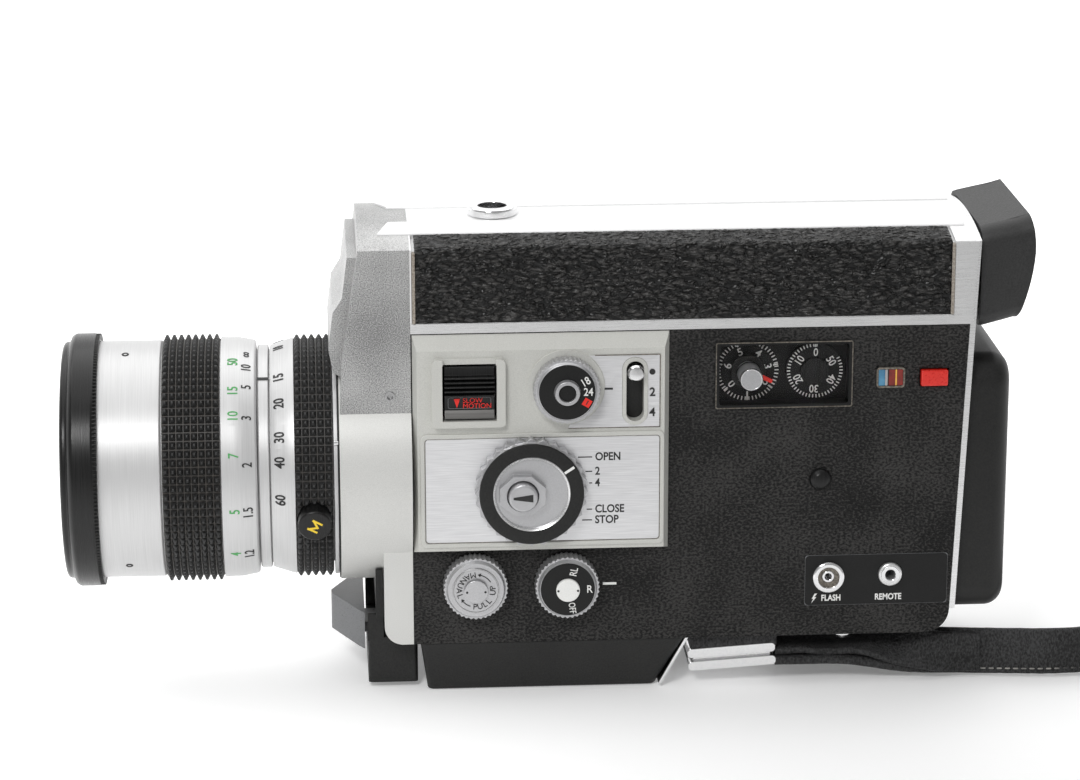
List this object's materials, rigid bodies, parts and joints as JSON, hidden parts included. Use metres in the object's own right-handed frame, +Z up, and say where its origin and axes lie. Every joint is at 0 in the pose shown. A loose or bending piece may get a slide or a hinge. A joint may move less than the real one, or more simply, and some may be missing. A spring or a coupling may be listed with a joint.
{
  "type": "cine camera",
  "caption": "Super-8 cine camera with a zoom lens, control dials on one side, film door, folding battery cover, rubber eyecup and wrist strap.",
  "frame": {"origin": "mouth of the tripod socket in the base's underside, in the vertical plane of the lens axis", "axes": "the lens looks along -X, +Z is up, and the control side faces -Y"},
  "size_m": [0.2734, 0.0663, 0.1174],
  "materials": {
    "black_leatherette": "fine grained",
    "black_leather": "pebbled",
    "black_gloss": "gloss",
    "black_satin": "satin",
    "black_rubber": "knurled matte",
    "satin_silver": "satin",
    "pale_grey_paint": "fine satin paint",
    "grey_paint": "speckled metallic",
    "brushed_plate": "brushed",
    "chrome": "bright",
    "steel": "machined",
    "brass": "turned",
    "optical_glass": "coated",
    "window_glass": "clear",
    "red_plastic": "gloss",
    "dark_grey_plastic": "moulded",
    "circuit_green": "coated board",
    "battery_wrap": "printed sleeve"
  },
  "bodies": {
    "camera_body": {"lens_core": "satin_silver", "relay_lens": "optical_glass", "front_housing": "pale_grey_paint", "front_cover": "grey_paint", "left_shell": "black_leatherette", "right_shell": "black_leatherette", "top_cover": "satin_silver", "leather_strips": "black_leather", "trim_frame": "satin_silver", "control_panel": "pale_grey_paint", "brushed_plate": "brushed_plate", "counter_frame": "black_satin", "counter_glass": "window_glass", "indicator_window": "window_glass", "lamp_lens": "black_gloss", "jack_plate": "black_satin", "flash_socket": "chrome", "remote_jack": "chrome", "light_socket": "chrome", "chassis_plate": "steel", "motor": "steel", "circuit_board": "circuit_green", "battery_cells": "battery_wrap", "finder_tube": "black_satin", "eyepiece_lens": "optical_glass", "eyecup": "black_rubber", "grip_base": "black_leatherette", "grip_front": "black_satin", "tripod_socket": "steel", "strap_clasp": "chrome", "strap": "black_leather", "body_screws": "steel"},
    "focus_group": {"front_ring": "black_gloss", "front_barrel": "satin_silver", "focus_grip": "black_rubber", "distance_ring": "satin_silver", "front_element": "optical_glass"},
    "zoom_group": {"zoom_scale_ring": "satin_silver", "zoom_grip": "black_rubber"},
    "macro": {"macro_button": "black_gloss"},
    "variator": {"variator_lens": "optical_glass"},
    "trigger": {"trigger": "dark_grey_plastic"},
    "slow_motion": {"slow_button": "black_gloss"},
    "rate": {"rate_dial": "black_satin"},
    "lever": {"speed_lever": "chrome"},
    "shutter_control": {"shutter_dial": "satin_silver"},
    "shutter_release": {"dial_button": "chrome"},
    "exposure_shaft": {"exposure_spindle": "chrome"},
    "exposure": {"exposure_dial": "satin_silver"},
    "run_lock": {"run_dial": "satin_silver"},
    "frame_counter": {"frame_knob": "chrome"},
    "footage_counter": {"footage_disc": "black_satin"},
    "battery_check": {"check_button": "red_plastic"},
    "door": {"film_door": "black_leatherette"},
    "latch": {"door_latch": "chrome"},
    "battery_door": {"rear_cover": "black_satin"},
    "diopter": {"diopter_ring": "black_satin"},
    "shutter_disc": {"rotary_shutter": "steel"},
    "pinion": {"motor_pinion": "brass"},
    "takeup": {"takeup_spindle": "brass"}
  },
  "joints": [
    {"name": "focus_turn", "type": "hinge", "parent": "camera_body", "child": "focus_group", "pos_m": [-0.09, 0, 0.054], "axis": [-1, 0, 0], "range_deg": [-18, 94]},
    {"name": "zoom_turn", "type": "hinge", "parent": "camera_body", "child": "zoom_group", "pos_m": [-0.06, 0, 0.054], "axis": [-1, 0, 0], "range_deg": [-43, 62]},
    {"name": "macro_press", "type": "slide", "parent": "zoom_group", "child": "macro", "axis": [0, 0.9673, 0.2538], "range_m": [0, 0.0012], "stiffness_N_per_m": 400},
    {"name": "variator_slide", "type": "slide", "parent": "camera_body", "child": "variator", "axis": [1, 0, 0], "range_m": [-0.012, 0.017]},
    {"name": "trigger_pull", "type": "slide", "parent": "camera_body", "child": "trigger", "axis": [1, 0, 0], "range_m": [0, 0.0025], "stiffness_N_per_m": 600},
    {"name": "slow_motion_press", "type": "slide", "parent": "camera_body", "child": "slow_motion", "axis": [0, 1, 0], "range_m": [0, 0.0015], "stiffness_N_per_m": 400},
    {"name": "frame_rate_turn", "type": "hinge", "parent": "camera_body", "child": "rate", "pos_m": [0.0017, -0.03, 0.0781], "axis": [0, 1, 0], "range_deg": [-38, 38]},
    {"name": "film_speed_slide", "type": "slide", "parent": "camera_body", "child": "lever", "axis": [0, 0, 1], "range_m": [-0.0096, 0]},
    {"name": "shutter_turn", "type": "hinge", "parent": "camera_body", "child": "shutter_control", "pos_m": [-0.0067, -0.03, 0.0528], "axis": [0, 1, 0], "range_deg": [0, 60]},
    {"name": "shutter_button_press", "type": "slide", "parent": "shutter_control", "child": "shutter_release", "axis": [0, 1, 0], "range_m": [0, 0.0012], "stiffness_N_per_m": 400},
    {"name": "exposure_pull", "type": "slide", "parent": "camera_body", "child": "exposure_shaft", "axis": [0, -1, 0], "range_m": [0, 0.002]},
    {"name": "exposure_turn", "type": "hinge", "parent": "exposure_shaft", "child": "exposure", "pos_m": [-0.0201, -0.028, 0.0284], "axis": [0, 1, 0], "range_deg": [-150, 150]},
    {"name": "run_lock_turn", "type": "hinge", "parent": "camera_body", "child": "run_lock", "pos_m": [0.002, -0.028, 0.0282], "axis": [0, 1, 0], "range_deg": [-42, 42]},
    {"name": "frame_counter_turn", "type": "hinge", "parent": "camera_body", "child": "frame_counter", "pos_m": [0.0459, -0.022, 0.0793], "axis": [0, 1, 0], "continuous": true},
    {"name": "footage_turn", "type": "hinge", "parent": "camera_body", "child": "footage_counter", "pos_m": [0.062, -0.0216, 0.0793], "axis": [0, 1, 0], "continuous": true},
    {"name": "battery_check_press", "type": "slide", "parent": "camera_body", "child": "battery_check", "axis": [0, 1, 0], "range_m": [0, 0.0012], "stiffness_N_per_m": 400},
    {"name": "film_door_swing", "type": "hinge", "parent": "camera_body", "child": "door", "pos_m": [0.0686, 0.0254, 0.05], "axis": [0, 0, -1], "range_deg": [0, 110]},
    {"name": "door_latch_turn", "type": "hinge", "parent": "door", "child": "latch", "pos_m": [-0.006, 0.025, 0.055], "axis": [0, 1, 0], "range_deg": [0, 90]},
    {"name": "rear_cover_swing", "type": "hinge", "parent": "camera_body", "child": "battery_door", "pos_m": [0.10028, 0.0236, 0.05], "axis": [0.0419, 0, 0.9991], "range_deg": [0, 100]},
    {"name": "diopter_turn", "type": "hinge", "parent": "camera_body", "child": "diopter", "pos_m": [0.103, 0, 0.1], "axis": [1, 0, 0], "range_deg": [-60, 60]},
    {"name": "shutter_spin", "type": "hinge", "parent": "camera_body", "child": "shutter_disc", "pos_m": [-0.02, 0, 0.038], "axis": [1, 0, 0], "continuous": true},
    {"name": "pinion_spin", "type": "hinge", "parent": "camera_body", "child": "pinion", "pos_m": [-0.017, -0.0158, 0.042], "axis": [1, 0, 0], "continuous": true},
    {"name": "takeup_spin", "type": "hinge", "parent": "camera_body", "child": "takeup", "pos_m": [0.028, -0.01, 0.055], "axis": [0, 1, 0], "continuous": true}
  ],
  "couplings": [
    {"joint": "variator_slide", "follows": "zoom_turn", "m_per_rad": 0.0145},
    {"joint": "pinion_spin", "follows": "shutter_spin", "ratio": -3.3333},
    {"joint": "takeup_spin", "follows": "shutter_spin", "ratio": -0.05},
    {"joint": "footage_turn", "follows": "shutter_spin", "ratio": 0.01}
  ]
}
